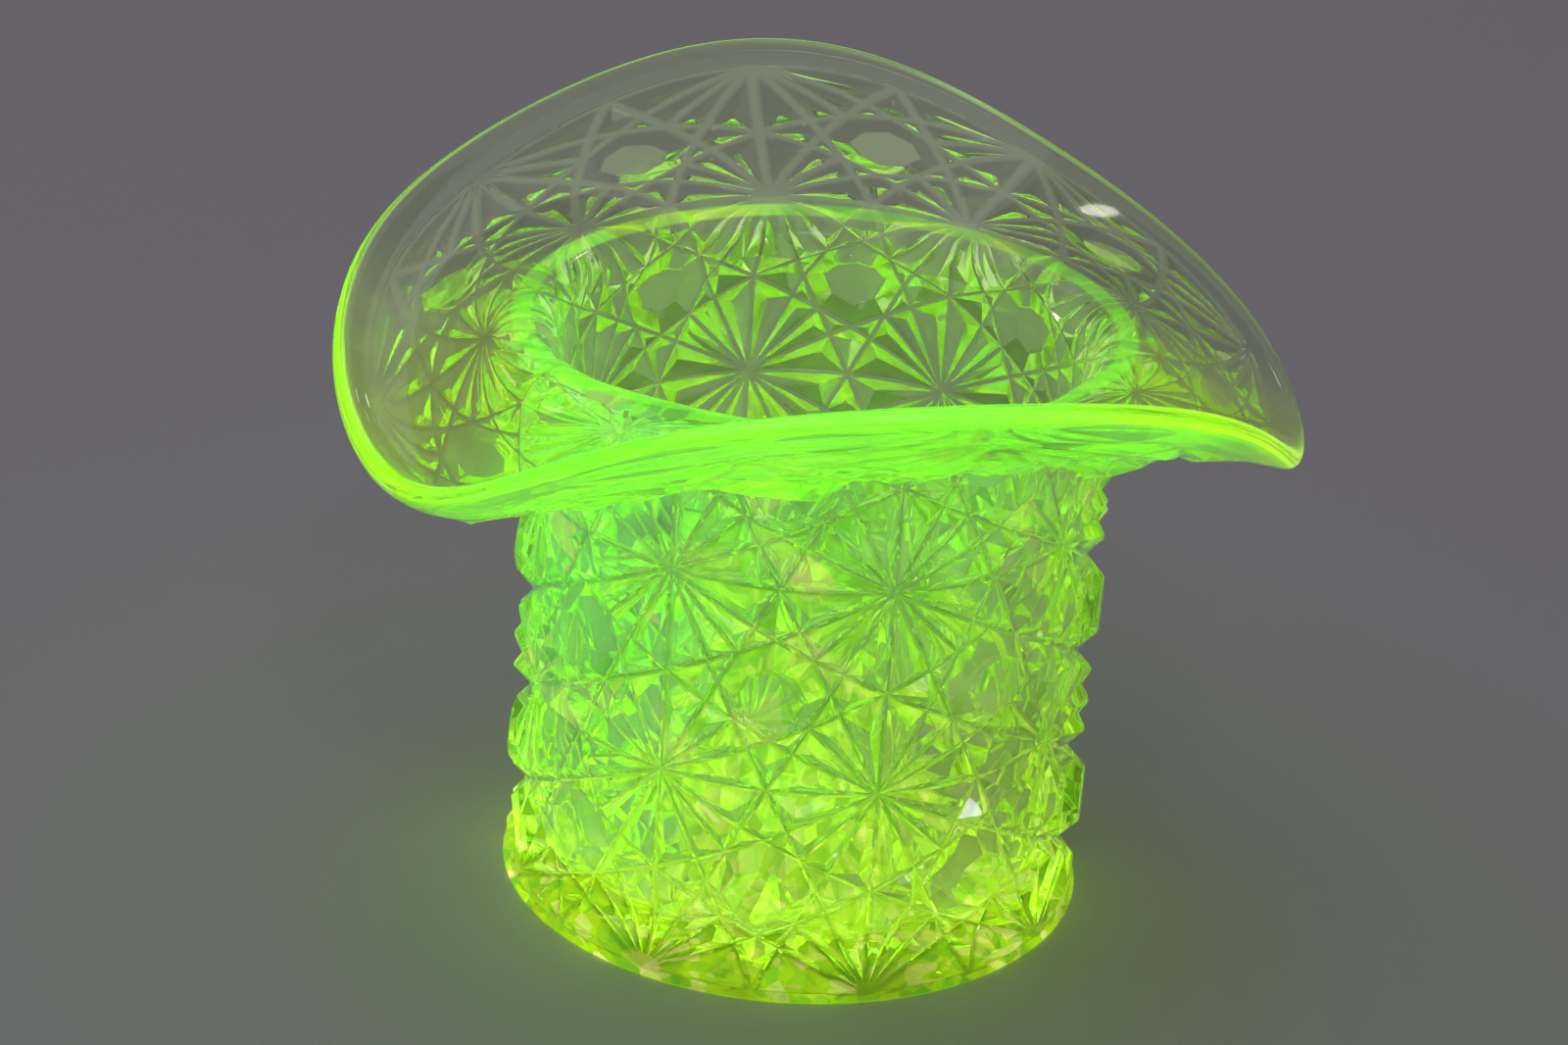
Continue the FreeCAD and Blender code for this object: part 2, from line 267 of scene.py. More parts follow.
def twisted(angle, share=1.0):
    lag = BRIM_TWIST * (1 - np.cos(np.radians(angle))) / 2
    return angle - share * (lag + BRIM_CROWDING * np.sin(np.radians(angle - CROWDED_ANGLE)))


def on_relief(a, k, height):
    """Points in space over the grid of cells, at a height above the bottoms of the grooves."""
    angle = twisted(FIRST_COLUMN_ANGLE + a * CELL_ANGLE, np.clip((k - WALL_ROWS) / TWIST_ROWS, 0, 1))
    way = (k - WALL_ROWS) / (ROWS - WALL_ROWS)
    straight = pair(WALL_RADIUS + 0 * a, FOOT_ROW_HEIGHT + k * ROW_PITCH)
    curved, normal = lower_skin(angle, way)
    on_wall = (k <= WALL_ROWS)[:, None]
    profile = np.where(on_wall, straight, curved)
    normal = np.where(on_wall, np.array([1.0, 0.0]), normal)
    share = np.interp(k, (WALL_ROWS, WALL_ROWS + TWIST_ROWS, ROWS),
                      (1.0, BRIM_RELIEF_SHARE, EDGE_RELIEF_SHARE))
    at_foot = np.clip(1 - k / FOOT_FLARE_ROWS, 0, 1) ** FOOT_FLARE_POWER
    share = share * (1 - FOOT_FADE * at_foot)
    base = GROOVE_BASE * np.clip((ROWS - k) / BASE_FADE_ROWS, 0, 1) + FOOT_FLARE * at_foot
    return around(profile + normal * (base + height * share)[:, None], angle)


class Skin:
    """Vertices and faces of the whole hat, welded at the end, with what its material varies by.

    relief is the height over the bottoms of the grooves, edge is 1 on the rounded edge of the brim, turn
    is the way round that edge from below, and bend is 1 where the mouth turns over.
    """
    def __init__(self):
        self.points, self.faces = [], []
        self.values = {"relief": [], "edge": [], "turn": [], "bend": []}

    def add(self, points, relief=SMOOTH, edge=0.0, turn=0.0, bend=0.0):
        start = len(self.points)
        self.points += [tuple(point) for point in points]
        for name, value in (("relief", relief), ("edge", edge), ("turn", turn), ("bend", bend)):
            self.values[name] += [value] * len(points)
        return list(range(start, start + len(points)))

    def strip(self, low, high):
        """Quads between two closed rings of as many points."""
        for i in range(len(low)):
            j = (i + 1) % len(low)
            self.faces.append((low[i], low[j], high[j], high[i]))

    def fan(self, ring, centre):
        for i in range(len(ring)):
            self.faces.append((ring[i], ring[(i + 1) % len(ring)], centre))


def divided(corners):
    """Outline of a facet with its edges cut into parts, finer on the foot and on the margin."""
    outline = []
    for start, end in zip(corners, np.roll(corners, -1, axis=0)):
        border = start[1] == end[1] and start[1] in (0, ROWS)
        parts = BORDER_PARTS if border else EDGE_PARTS
        outline += [start + (end - start) * part / parts for part in range(parts)]
    return np.array(outline)


def incentre(corners):
    """Centre and radius of the circle that touches every side; all these facets have one."""
    sides = np.roll(corners, -1, axis=0) - corners
    lengths = np.linalg.norm(sides, axis=1)
    x, y = corners.T
    area = 0.5 * abs(np.sum(x * np.roll(y, -1) - y * np.roll(x, -1)))
    radius = 2 * area / lengths.sum()
    normals = np.stack([-sides[:, 1], sides[:, 0]], axis=1) / lengths[:, None]
    if np.sum(normals[0] * (corners.mean(axis=0) - corners[0])) < 0:
        normals = -normals
    offsets = np.sum(normals * corners, axis=1) + radius
    return np.linalg.lstsq(normals, offsets, rcond=None)[0], radius


def facet(skin, corners, flat_top=False):
    """A raised facet: a shallow groove bottom, a straight side and a softened crest or a flat top."""
    centre, inradius = incentre(corners)
    outline = divided(corners)
    depth = inradius * CELL
    steps = [(0.0, 0.0), (GROOVE_HALF_WIDTH, GROOVE_RISE)]
    top = (RELIEF_HEIGHT - GROOVE_RISE) / WALL_SLOPE + GROOVE_HALF_WIDTH if flat_top else depth
    brow = top - CREST_ROUNDING
    brow_height = GROOVE_RISE + (brow - GROOVE_HALF_WIDTH) * WALL_SLOPE
    steps.append((brow, brow_height))
    if flat_top:
        steps.append((top + CREST_ROUNDING, brow_height + CREST_ROUNDING * WALL_SLOPE))
    rings = []
    for inset, height in steps:
        ring = centre + (outline - centre) * (1 - inset / depth)
        rings.append(on_relief(ring[:, 0], ring[:, 1], np.full(len(ring), height)))
    peak_height = steps[-1][1] + (0 if flat_top else CREST_ROUNDING * WALL_SLOPE * PEAK_SHARE)
    peak = on_relief(centre[None, 0], centre[None, 1], np.array([peak_height]))
    if flat_top:
        normal = unit(peak[0] - on_relief(centre[None, 0], centre[None, 1], np.zeros(1))[0])
        for ring in rings[2:]:
            away = (ring - ring.mean(axis=0)) @ normal
            ring -= away[:, None] * normal
        peak = rings[-1].mean(axis=0)[None]
    indices = [skin.add(ring, height) for ring, (inset, height) in zip(rings, steps)]
    for low, high in zip(indices, indices[1:]):
        skin.strip(low, high)
    skin.fan(indices[-1], skin.add(peak, peak_height)[0])


PETAL_A = ((0, 0), (1 / 2, 0), (2 / 5, 1 / 5))
PETAL_B = ((0, 0), (2 / 5, 1 / 5), (1 / 3, 1 / 3))
SPLINTER = ((2 / 5, 1 / 5), (1 / 2, 1 / 4), (1 / 3, 1 / 3))
KITE = ((1 / 2, 0), (3 / 5, 1 / 5), (1 / 2, 1 / 4), (2 / 5, 1 / 5))
BUTTON = ((1 / 2, 1 / 4), (2 / 3, 1 / 3), (3 / 4, 1 / 2), (2 / 3, 2 / 3),
          (1 / 2, 3 / 4), (1 / 3, 2 / 3), (1 / 4, 1 / 2), (1 / 3, 1 / 3))


def cell_facets():
    """Facets of one cell, with daisies at its corners and a button in its middle."""
    facets = [(np.array(BUTTON), True)]
    middle = np.array([0.5, 0.5])
    for quarter in range(4):
        turn = math.radians(90 * quarter)
        spin = np.array([[math.cos(turn), -math.sin(turn)], [math.sin(turn), math.cos(turn)]]).round()
        for mirror in (False, True):
            for shape in (PETAL_A, PETAL_B, SPLINTER) + (() if mirror else (KITE,)):
                corners = np.array(shape, float)
                corners = corners[:, ::-1] if mirror else corners
                facets.append(((corners - middle) @ spin.T + middle, False))
    return facets


def add_relief(skin):
    shapes = cell_facets()
    for row in range(ROWS):
        for column in range(COLUMNS):
            for corners, flat_top in shapes:
                snapped = np.round(corners + np.array([column, row]), 9)
                facet(skin, snapped, flat_top)


def steps(first, last, count):
    """Even steps from the first value, which is left out, to the last."""
    return np.linspace(first, last, count + 1)[1:]


def add_smooth(skin):
    """From the outer border of the relief over the rim, down the inside and across the floor."""
    angle = twisted(FIRST_COLUMN_ANGLE + np.arange(ROUND_PARTS) * 360.0 / ROUND_PARTS)

    rings = []

    def ring(profile, **values):
        rings.append(skin.add(around(profile, angle), **values))

    def t(share):
        return np.full(ROUND_PARTS, share)

    ring(skirt(angle, -1, t(1.0)))
    for share in steps(0, 1, MARGIN_RINGS):
        ring(margin(angle, -1, t(share)))
    for share in steps(0, 1, EDGE_RINGS):
        ring(rim_round(angle, t(share)), edge=math.sin(math.pi * share), turn=share)
    for share in steps(1, 0, MARGIN_RINGS):
        ring(margin(angle, 1, t(share)))
    for share in steps(1, 0, SKIRT_RINGS):
        ring(skirt(angle, 1, t(share)))
    for share in steps(1, 0, FLARE_RINGS):
        ring(flare(angle, 1, t(share)), bend=float(BEND_FROM < share < BEND_TO))
    for height in steps(CROWN_WALL_HEIGHT, FLOOR_HEIGHT + FLOOR_ROUNDING, WALL_RINGS):
        ring(pair(INNER_RADIUS, height + 0 * angle))
    for turn in np.radians(steps(0, 90, CORNER_RINGS)):
        ring(pair(INNER_RADIUS - FLOOR_ROUNDING * (1 - math.cos(turn)),
                  FLOOR_HEIGHT + FLOOR_ROUNDING * (1 - math.sin(turn)) + 0 * angle))
    for radius in steps(INNER_RADIUS - FLOOR_ROUNDING, 0, FLOOR_RINGS)[:-1]:
        ring(pair(radius, FLOOR_HEIGHT + 0 * angle))
    for low, high in zip(rings, rings[1:]):
        skin.strip(low, high)
    skin.fan(rings[-1], skin.add([(0, 0, FLOOR_HEIGHT)])[0])


def add_underside(skin):
    """The sloping foot, the flat ring that the hat stands on and the star pressed into it."""
    angle = FIRST_COLUMN_ANGLE + np.arange(ROUND_PARTS) * 360.0 / ROUND_PARTS
    rings = [skin.add(around(pair(radius, height + 0 * angle), angle)) for radius, height in (
        (WALL_RADIUS + GROOVE_BASE + FOOT_FLARE, FOOT_ROW_HEIGHT), (FOOT_RADIUS, FOOT_EDGE_HEIGHT),
        (FOOT_RADIUS - FOOT_BEVEL, 0), (STAR_RADIUS + STAR_CLEARANCE, 0))]
    for high, low in zip(rings, rings[1:]):
        skin.strip(high, low)
    outer = rings[-1]
    per_ray = ROUND_PARTS // STAR_RAYS
    hub, left, tip, right, deep = [], [], [], [], []
    spread = math.degrees(STAR_RAY_WIDTH / 2 / STAR_WIDEST_RADIUS)
    for ray in range(STAR_RAYS):
        turn = FIRST_COLUMN_ANGLE + ray * 360.0 / STAR_RAYS
        for corner, radius, offset, height in (
                (hub, STAR_HUB_RADIUS, 0, 0), (left, STAR_WIDEST_RADIUS, -spread, 0),
                (tip, STAR_RADIUS, 0, 0), (right, STAR_WIDEST_RADIUS, spread, 0),
                (deep, STAR_WIDEST_RADIUS, 0, STAR_DEPTH)):
            corner += skin.add(around(pair(radius, height), np.array([turn + offset])))
    for ray in range(STAR_RAYS):
        after = (ray + 1) % STAR_RAYS
        corners = [hub[ray], left[ray], tip[ray], right[ray]]
        skin.fan(corners, deep[ray])
        arc = [outer[(ray * per_ray + step) % ROUND_PARTS] for step in range(per_ray + 1)]
        skin.faces.append((hub[ray], right[ray], tip[ray], *arc, tip[after], left[after], hub[after]))
    skin.faces.append(tuple(hub))


def glass_mesh():
    skin = Skin()
    add_relief(skin)
    add_smooth(skin)
    add_underside(skin)
    mesh = bpy.data.meshes.new("pressed_glass_hat")
    mesh.from_pydata((np.array(skin.points) * MM).tolist(), [], skin.faces)
    for name, values in skin.values.items():
        mesh.attributes.new(name, "FLOAT", "POINT").data.foreach_set("value", values)
    mesh.shade_smooth()
    work = bmesh.new()
    work.from_mesh(mesh)
    bmesh.ops.remove_doubles(work, verts=work.verts, dist=WELD_DISTANCE)
    bmesh.ops.dissolve_degenerate(work, edges=work.edges, dist=SLIVER)
    bmesh.ops.recalc_face_normals(work, faces=work.faces)
    for edge in work.edges:
        on_brim = min(vertex.co.xy.length for vertex in edge.verts) > SOFT_RADIUS * MM
        edge.smooth = on_brim or edge.calc_face_angle(0) < math.radians(SHARP_ANGLE)
    work.to_mesh(mesh)
    work.free()
    return mesh


WHOLE = (0.0, 1.0)
FADING = (1.0, 0.0)
MIX_SOCKETS = {"RGBA": (6, 7, 2), "FLOAT": (2, 3, 0)}    # of a Mix node: first, last and result


class Shading:
    """Short calls for the nodes of one material. Places are in metres on the hat."""
    def __init__(self, material):
        material.use_nodes = True
        self.nodes, self.links = material.node_tree.nodes, material.node_tree.links
        self.shader = self.nodes["Principled BSDF"]
        self.place = self.nodes.new("ShaderNodeTexCoord").outputs["Object"]
        split = self.nodes.new("ShaderNodeSeparateXYZ")
        self.links.new(self.place, split.inputs[0])
        self.x, self.y, self.z = split.outputs

    def put(self, socket, value):
        if isinstance(value, bpy.types.NodeSocket):
            self.links.new(value, socket)
        else:
            socket.default_value = value

    def math(self, operation, first, second=0.0):
        node = self.nodes.new("ShaderNodeMath")
        node.operation = operation
        self.put(node.inputs[0], first)
        self.put(node.inputs[1], second)
        return node.outputs[0]

    def ramp(self, value, zone, levels=WHOLE):
        """Smooth change from one level to the other while the value crosses the zone."""
        node = self.nodes.new("ShaderNodeMapRange")
        node.interpolation_type = "SMOOTHSTEP"
        for socket, number in zip(node.inputs, (value, *zone, *levels)):
            self.put(socket, number)
        return node.outputs[0]

    def times(self, *values):
        product = values[0]
        for value in values[1:]:
            product = self.math("MULTIPLY", product, value)
        return product

    def blend(self, share, first, last):
        """From one number to another, or from one colour to another."""
        node = self.nodes.new("ShaderNodeMix")
        colors = any(isinstance(v, tuple) or getattr(v, "type", "") == "RGBA" for v in (first, last))
        node.data_type = "RGBA" if colors else "FLOAT"
        low, high, result = MIX_SOCKETS[node.data_type]
        self.put(node.inputs[0], share)
        self.put(node.inputs[low], (*first, 1.0) if isinstance(first, tuple) else first)
        self.put(node.inputs[high], (*last, 1.0) if isinstance(last, tuple) else last)
        return node.outputs[result]

    def glint_patches(self, size):
        """A random number for each of many small patches, used for painted glints."""
        node = self.nodes.new("ShaderNodeTexVoronoi")
        self.links.new(self.place, node.inputs["Vector"])
        node.inputs["Scale"].default_value = 1 / size
        split = self.nodes.new("ShaderNodeSeparateColor")
        self.links.new(node.outputs["Color"], split.inputs[0])
        return split.outputs[0]

    def noise(self, scale, place=None):
        node = self.nodes.new("ShaderNodeTexNoise")
        self.links.new(place or self.place, node.inputs["Vector"])
        node.inputs["Scale"].default_value = scale
        return node.outputs["Fac"]

    def vector(self, *parts):
        node = self.nodes.new("ShaderNodeCombineXYZ")
        for socket, part in zip(node.inputs, parts):
            self.put(socket, part)
        return node.outputs[0]

    def attribute(self, name):
        node = self.nodes.new("ShaderNodeAttribute")
        node.attribute_name = name
        return node.outputs["Fac"]


# Colours of the glow, which is painted light standing for the glass's fluorescence under an ultraviolet lamp
MINT = (0.13, 1.0, 0.07)
GREEN = (0.17, 1.0, 0.035)
LIME = (0.36, 1.0, 0.01)
YELLOW = (0.55, 1.0, 0.0)
CREAM = (0.90, 1.0, 0.22)
PALE = (0.66, 1.0, 0.40)

# Colours of the glass, which tint what shows through it; the grey on the far facets of the brim is painted
# shade
CLEAR_TINT = (0.96, 1.0, 0.88)
LIME_TINT = (0.93, 1.0, 0.66)
FAR_FACET_SHADE_TINT = (0.74, 0.84, 0.64)
RIM_TINT = (0.86, 1.0, 0.36)
DEPTH_TINT = (0.85, 1.0, 0.25, 1)
DEPTH_DENSITY = 45.0
GLASS_IOR = 1.52
TRANSMISSION = 0.94
NEAR_ROUGHNESS = 0.025
FAR_ROUGHNESS = 0.06
RING_ROUGHNESS = 0.22

# Zones that the glass changes over, in metres
BACK_ZONE = (-0.010, 0.025)    # of y
NEAR_ZONE = (-0.036, -0.010)   # of y, from the front of the brim to the lobes at its sides
LOBE_ZONE = (-0.036, -0.012)
SIDE_ZONE = (-0.046, -0.028)   # of y, less a part of x on the right
SIDE_SLANT = 0.5
RIGHT_ZONE = (0.010, 0.048)    # of x
BRIM_ZONE = (0.0366, 0.0374)   # of the distance from the axis
FOOT_ZONE = (0.004, 0.016)     # of z
# Painted light: the crown glows brighter and mintier where the ultraviolet lamp falls, high on the left,
# with a noisy boundary
LIT_ZONE = (0.0, 0.095)        # of z, less a part of x, with clouds
LIT_SLANT = 0.8
CLOUD_DEPTH = 0.04

# Zones over the height above the grooves, in millimetres
GROOVE_ZONE = (0.05, 0.45)
# Painted highlights: a pale line along each groove of the far brim
HIGHLIGHT_LINE_ZONE = (0.10, 0.60)
FACE_START, FACE_END = (2.2, 2.3), (2.5, 3.0)       # flat tops of the buttons
FACET_START, FACET_END = (0.2, 0.7), (2.1, 2.3)

# Zones over the width of the rounded edge, as shares
FRONT_EDGE_ZONE = (0.1, 0.6)
SIDE_EDGE_ZONE = (0.5, 0.9)

# Patterns of painted glints, painted streaky refraction and random tone: sizes in metres, scales per metre,
# and zones over their values
# Painted glints: small cream patches on the crown and brighter ones at the foot, standing for light
# refracted by the relief
GLINT_PATCH_SIZE = 0.0045
FOOT_GLINT_SIZE = 0.0024
CLOUD_SCALE = 55.0
LEMON_SCALE = 60.0
RING_SCALE = 75.0
# Painted refraction and reflection on the rounded edge of the brim, streaky along it
STREAKS_ROUND_EDGE = 9.0
STREAK_SCALE = 20.0
CLOUD_ZONE = (0.3, 0.7)
CREAM_GLINT_ZONE = (0.88, 0.98)
CREAM_FOOT_GLINTS = (0.78, 0.92)
YELLOW_FOOT_GLINTS = (0.15, 0.45)
LEMON_ZONE = (0.45, 0.62)
RING_ZONE = (0.42, 0.58)
MINT_STREAKS = (0.45, 0.60)
STREAK_ZONE = (0.38, 0.62)

# Levels of the glow, which is painted light: brighter where the ultraviolet lamp falls, with painted
# highlights, glints and shade
GLOW = 0.10                    # emission strength at level 1
# Painted shade: the glow is dimmer in the grooves
GROOVE_SHADE_LEVELS = (0.25, 1.0)
BLOTCH_LEVELS = (0.8, 1.2)
CROWN_LEVELS = (0.66, 1.42)    # at the lower right and the upper left
# Painted shade: the far side of the crown glows at half strength
FAR_CROWN_SHADE_LEVELS = (1.0, 0.50)
# Painted glints: the foot glows brighter in small patches
FOOT_GLINT_LEVELS = (2.4, 3.8)
# Painted light: the brim glows brighter at the front, where the ultraviolet lamp falls, than on the lobes
NEAR_LEVELS = (1.5, 0.80)
# Painted highlights: a pale line along each groove of the far brim
HIGHLIGHT_LINE_LEVELS = (0.60, 0.07)
# Painted highlight on the flat tops of the buttons on the far brim
BUTTON_HIGHLIGHT_LEVEL = 0.9
# Painted light on the mouth's ring: refracted glow, with painted glints at the back
RING_LEVEL = 3.0
FAR_RING_LEVELS = (2.4, 4.6)
# Painted light on the rounded edge: a bright band at the front and a bright line at the sides
FRONT_RIM_LEVEL = 4.6
SIDE_RIM_LEVEL = 5.0
STREAK_LEVELS = (0.55, 1.30)
# Painted shade: ring and rim glow dimmer at the back right
FAR_RIGHT_SHADE_LEVELS = (1.0, 0.35)


def glass_fields(shade):
    """What the looks vary by: places and patterns from 0 to 1, and the values kept with the mesh."""
    relief, edge, turn, bend = (shade.attribute(name) for name in ("relief", "edge", "turn", "bend"))
    glint_patches, cloud = shade.glint_patches(GLINT_PATCH_SIZE), shade.noise(CLOUD_SCALE)
    soft_blotch = shade.ramp(cloud, CLOUD_ZONE, BLOTCH_LEVELS)
    back, right = shade.ramp(shade.y, BACK_ZONE), shade.ramp(shade.x, RIGHT_ZONE)
    square = shade.math("ADD", shade.times(shade.x, shade.x), shade.times(shade.y, shade.y))
    rightward = shade.times(shade.math("MAXIMUM", shade.x, 0.0), SIDE_SLANT)
    side = shade.ramp(shade.math("SUBTRACT", shade.y, rightward), SIDE_ZONE)
    edge_share = shade.blend(side, shade.ramp(edge, FRONT_EDGE_ZONE), shade.ramp(edge, SIDE_EDGE_ZONE))
    return SimpleNamespace(
        relief=relief, turn=turn, bend=bend, glint_patches=glint_patches, cloud=cloud, back=back, right=right, side=side,
        rim=edge_share,
        brim=shade.ramp(shade.math("SQRT", square), BRIM_ZONE),
        # Painted shade: dimmer glow in the grooves
        groove=shade.ramp(relief, GROOVE_ZONE, GROOVE_SHADE_LEVELS),
        # The glow varies at random with the clouds, and by painted glint patch
        blotch=shade.times(soft_blotch, shade.ramp(glint_patches, WHOLE, BLOTCH_LEVELS)),
        # Painted shade at the back right of ring and rim
        far_right_shade=shade.ramp(shade.times(back, right), WHOLE, FAR_RIGHT_SHADE_LEVELS))


def crown_glow(shade, field):
    """Painted light, mint and brighter at the upper left where the ultraviolet lamp falls and yellow and
    dimmer at the lower right, with small bright painted glints at the foot.
    """
    slant = shade.math("ADD", shade.times(shade.x, -LIT_SLANT), shade.z)
    # Painted light: lit is where the ultraviolet lamp falls on the crown
    lit = shade.ramp(shade.math("ADD", slant, shade.times(field.cloud, CLOUD_DEPTH)), LIT_ZONE)
    # Painted glints: cream patches on the crown
    color = shade.blend(shade.ramp(field.glint_patches, CREAM_GLINT_ZONE), shade.blend(lit, YELLOW, MINT), CREAM)
    foot = shade.ramp(shade.z, FOOT_ZONE, FADING)
    # Painted glints: the foot glows brighter, in small cream, yellow and lime patches, where light reflects
    # in the base
    foot_glints = shade.glint_patches(FOOT_GLINT_SIZE)
    foot_glint_color = shade.blend(shade.ramp(foot_glints, CREAM_FOOT_GLINTS), YELLOW, CREAM)
    foot_glint_color = shade.blend(shade.ramp(foot_glints, YELLOW_FOOT_GLINTS), LIME, foot_glint_color)
    color = shade.blend(field.back, shade.blend(foot, color, foot_glint_color), LIME)
    foot_glint_level = shade.blend(foot, 1.0, shade.ramp(foot_glints, WHOLE, FOOT_GLINT_LEVELS))
    glow = shade.times(shade.ramp(lit, WHOLE, CROWN_LEVELS), shade.ramp(field.back, WHOLE, FAR_CROWN_SHADE_LEVELS),
                       foot_glint_level, field.groove, field.blotch)
    return color, glow


def brim_glow(shade, field):
    """Painted light: green and brighter at the front and yellow and dimmer on the lobes; at the back only
    painted highlights along the grooves and on the button faces.
    """
    # Painted highlights on the flat tops of the buttons
    faces = shade.times(shade.ramp(field.relief, FACE_START), shade.ramp(field.relief, FACE_END, FADING))
    # Painted highlights: a pale line along each groove of the far brim
    highlight_lines = shade.ramp(field.relief, HIGHLIGHT_LINE_ZONE, HIGHLIGHT_LINE_LEVELS)
    far = shade.math("ADD", highlight_lines, shade.times(faces, BUTTON_HIGHLIGHT_LEVEL))
    near = shade.times(shade.ramp(shade.y, NEAR_ZONE, NEAR_LEVELS), field.groove, field.blotch)
    near_color = shade.blend(shade.ramp(shade.y, LOBE_ZONE), GREEN, YELLOW)
    return shade.blend(field.back, near_color, PALE), shade.blend(field.back, near, far)


def ring_glow(shade, field):
    """Painted light round the mouth, where the bend refracts the glow: plain green at the front,
    yellow-green segments of uneven brightness at the back.
    """
    lemon = shade.blend(shade.ramp(shade.noise(LEMON_SCALE), LEMON_ZONE), GREEN, YELLOW)
    far = shade.ramp(shade.noise(RING_SCALE), RING_ZONE, FAR_RING_LEVELS)
    glow = shade.times(shade.blend(field.back, RING_LEVEL, far), field.far_right_shade)
    return shade.blend(field.back, GREEN, lemon), glow


def rim_glow(shade, field):
    """Painted light on the rounded edge: a bright band along the front with streaky painted refraction and
    reflection, and a thin bright line round the rest, yellow on the right.
    """
    along = (shade.times(shade.x, STREAK_SCALE), shade.times(shade.y, STREAK_SCALE))
    # Painted refraction and reflection, streaky along the edge
    painted_streaks = shade.noise(1.0, shade.vector(shade.times(field.turn, STREAKS_ROUND_EDGE), *along))
    front_color = shade.blend(shade.ramp(painted_streaks, MINT_STREAKS), GREEN, MINT)
    color = shade.blend(field.right, shade.blend(field.side, front_color, LIME), YELLOW)
    level = shade.blend(field.side, FRONT_RIM_LEVEL, SIDE_RIM_LEVEL)
    return color, shade.times(level, field.far_right_shade, shade.ramp(painted_streaks, STREAK_ZONE, STREAK_LEVELS))


def glass_tint(shade, field):
    """Clear, limier on the front of the brim, greyer on its far facets as painted shade, and greenest on rim
    and ring.
    """
    # Painted shade: the far facets of the brim are greyer
    facets = shade.times(field.back, field.brim, shade.ramp(field.relief, FACET_START),
                         shade.ramp(field.relief, FACET_END, FADING))
    near = shade.blend(field.brim, CLEAR_TINT, LIME_TINT)
    tint = shade.blend(facets, shade.blend(field.back, near, CLEAR_TINT), FAR_FACET_SHADE_TINT)
    return shade.blend(shade.math("MAXIMUM", field.rim, field.bend), tint, RIM_TINT)


def glass_material():
    """Clear glass that glows from its surface as painted light, as uranium glass does under ultraviolet
    light.
    """
    material = bpy.data.materials.new("fluorescent_glass")
    shade = Shading(material)
    inputs = shade.shader.inputs
    inputs["IOR"].default_value = GLASS_IOR
    inputs["Transmission Weight"].default_value = TRANSMISSION

    field = glass_fields(shade)
    color, glow = crown_glow(shade, field)
    for share, (part_color, part_glow) in ((field.brim, brim_glow(shade, field)),
                                           (field.bend, ring_glow(shade, field)),
                                           (field.rim, rim_glow(shade, field))):
        color = shade.blend(share, color, part_color)
        glow = shade.blend(share, glow, part_glow)
    roughness = shade.blend(field.back, NEAR_ROUGHNESS, FAR_ROUGHNESS)
    shade.put(inputs["Emission Color"], color)
    shade.put(inputs["Emission Strength"], shade.times(glow, GLOW))
    shade.put(inputs["Base Color"], glass_tint(shade, field))
    shade.put(inputs["Roughness"], shade.blend(field.bend, roughness, RING_ROUGHNESS))

    absorption = shade.nodes.new("ShaderNodeVolumeAbsorption")
    absorption.inputs["Color"].default_value = DEPTH_TINT
    absorption.inputs["Density"].default_value = DEPTH_DENSITY
    shade.links.new(absorption.outputs["Volume"], shade.nodes["Material Output"].inputs["Volume"])
    return material


def build_hat():
    hat = bpy.data.objects.new("pressed_glass_hat", glass_mesh())
    bpy.context.scene.collection.objects.link(hat)
    hat.data.materials.append(glass_material())
    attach(hat, "root")
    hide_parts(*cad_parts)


FLOOR_SIZE = 6.0
FLOOR_COLOR = (0.55, 0.54, 0.56, 1)
FLOOR_ROUGHNESS = 0.75
STUDIO_COLOR = (0.95, 0.92, 1.0, 1)
STUDIO_STRENGTH = 0.055
BOUNCES, GLOSSY_BOUNCES = 24, 16

# Name, place and size in metres, watts and colour
LIGHTS = (("ceiling", (-0.3, 0.2, 1.4), 2.4, 6.2, (0.98, 0.94, 1.0)),
          ("key", (0.10, -0.60, 0.75), 0.20, 0.20, (0.95, 0.90, 1.0)),
          ("back", (0.34, 0.80, 0.70), 0.07, 0.07, (1.0, 0.94, 0.80)),
          ("torch", (-0.05, -0.80, 0.14), 0.05, 0.08, (0.70, 0.60, 1.0)))


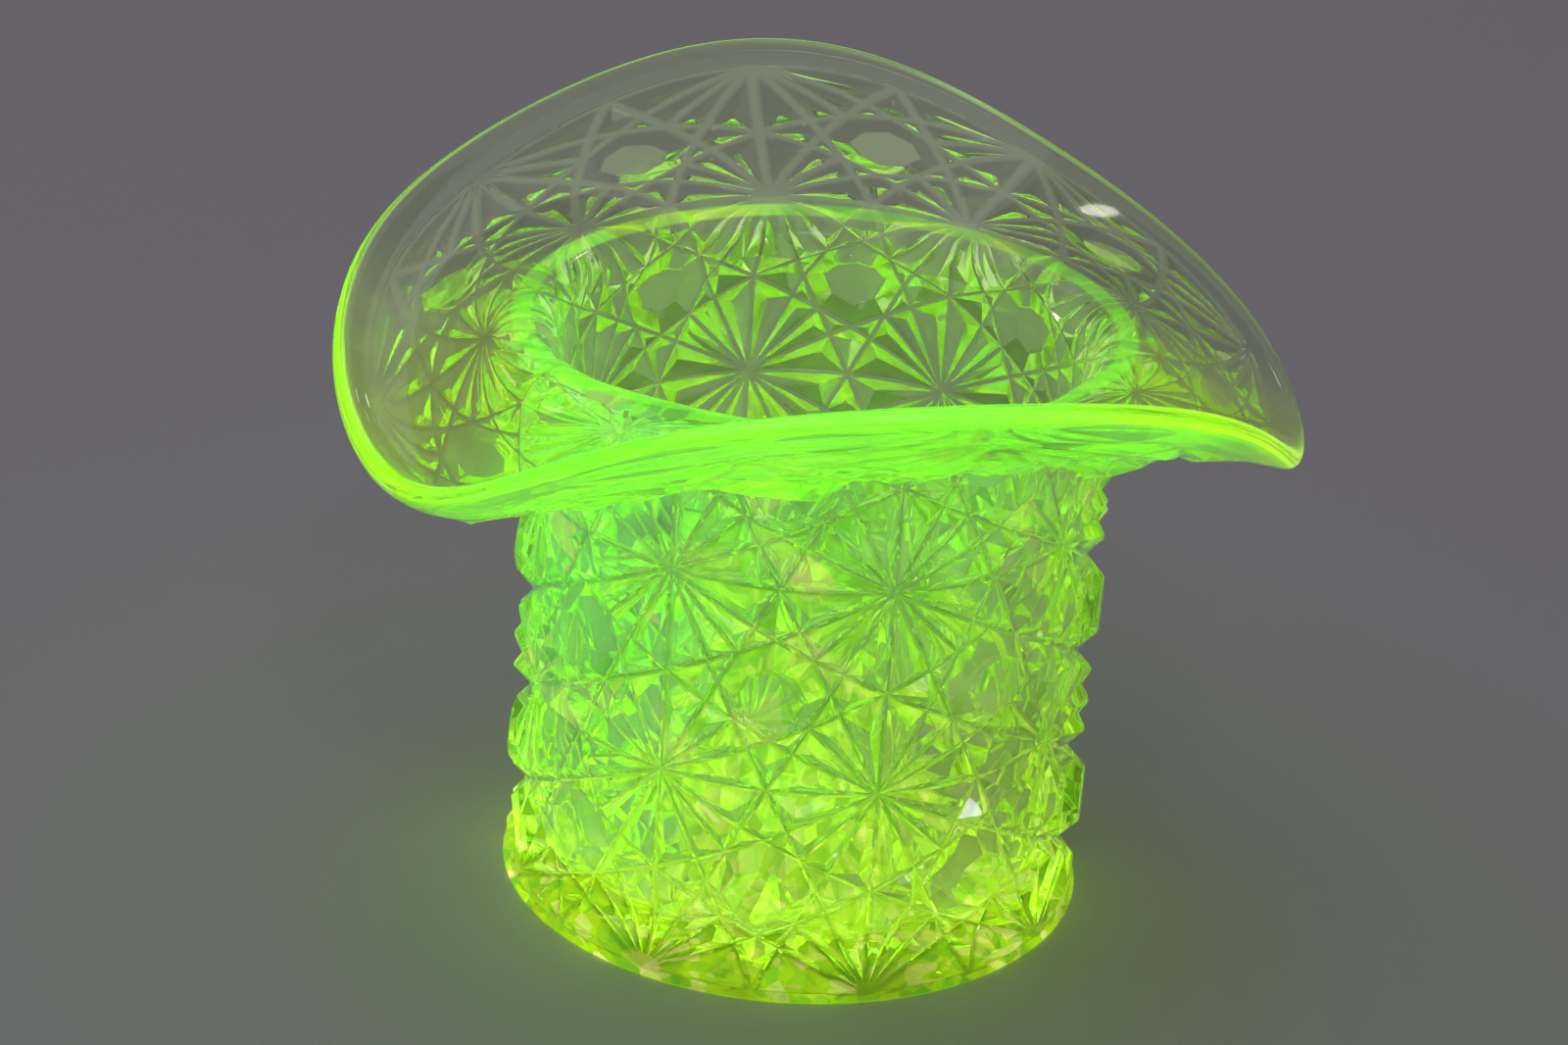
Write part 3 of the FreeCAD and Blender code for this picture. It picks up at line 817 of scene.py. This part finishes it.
def stage():
    bpy.ops.mesh.primitive_plane_add(size=FLOOR_SIZE, location=(0, 0, 0))
    floor = bpy.context.object
    floor.name = "floor"
    material = bpy.data.materials.new("pale_floor")
    material.use_nodes = True
    shader = material.node_tree.nodes["Principled BSDF"]
    shader.inputs["Base Color"].default_value = FLOOR_COLOR
    shader.inputs["Roughness"].default_value = FLOOR_ROUGHNESS
    floor.data.materials.append(material)


def soft_light(name, place, size, power, color):
    data = bpy.data.lights.new(name, "AREA")
    data.shape, data.size, data.energy, data.color = "DISK", size, power, color
    light = bpy.data.objects.new(name, data)
    light.location = place
    aim = Vector((0, 0, LIGHT_TARGET_HEIGHT)) - Vector(place)
    light.rotation_euler = aim.to_track_quat("-Z", "Y").to_euler()
    bpy.context.scene.collection.objects.link(light)


def studio():
    for light in LIGHTS:
        soft_light(*light)
    world = bpy.data.worlds.new("studio")
    world.use_nodes = True
    background = world.node_tree.nodes["Background"]
    background.inputs["Color"].default_value = STUDIO_COLOR
    background.inputs["Strength"].default_value = STUDIO_STRENGTH
    scene = bpy.context.scene
    scene.world = world
    scene.view_settings.view_transform = "Standard"
    scene.cycles.max_bounces = scene.cycles.transmission_bounces = BOUNCES
    scene.cycles.glossy_bounces = GLOSSY_BOUNCES


def photo_camera():
    data = bpy.data.cameras.new("photo_camera")
    data.sensor_width = SENSOR_WIDTH
    data.lens = CAMERA_LENS
    data.clip_start = CAMERA_CLIP
    camera = bpy.data.objects.new("photo_camera", data)
    forward = Vector((math.sin(CAMERA_YAW) * math.cos(CAMERA_PITCH),
                      math.cos(CAMERA_YAW) * math.cos(CAMERA_PITCH), -math.sin(CAMERA_PITCH)))
    level = Vector((math.cos(CAMERA_YAW), -math.sin(CAMERA_YAW), 0))
    up = level.cross(forward)
    right = level * math.cos(CAMERA_ROLL) + up * math.sin(CAMERA_ROLL)
    up = up * math.cos(CAMERA_ROLL) - level * math.sin(CAMERA_ROLL)
    turn = Matrix((right, up, -forward)).transposed()
    camera.matrix_world = Matrix.Translation(CAMERA_PLACE) @ turn.to_4x4()
    bpy.context.scene.collection.objects.link(camera)
    bpy.context.scene.camera = camera


build_hat()
stage()
photo_camera()
studio()
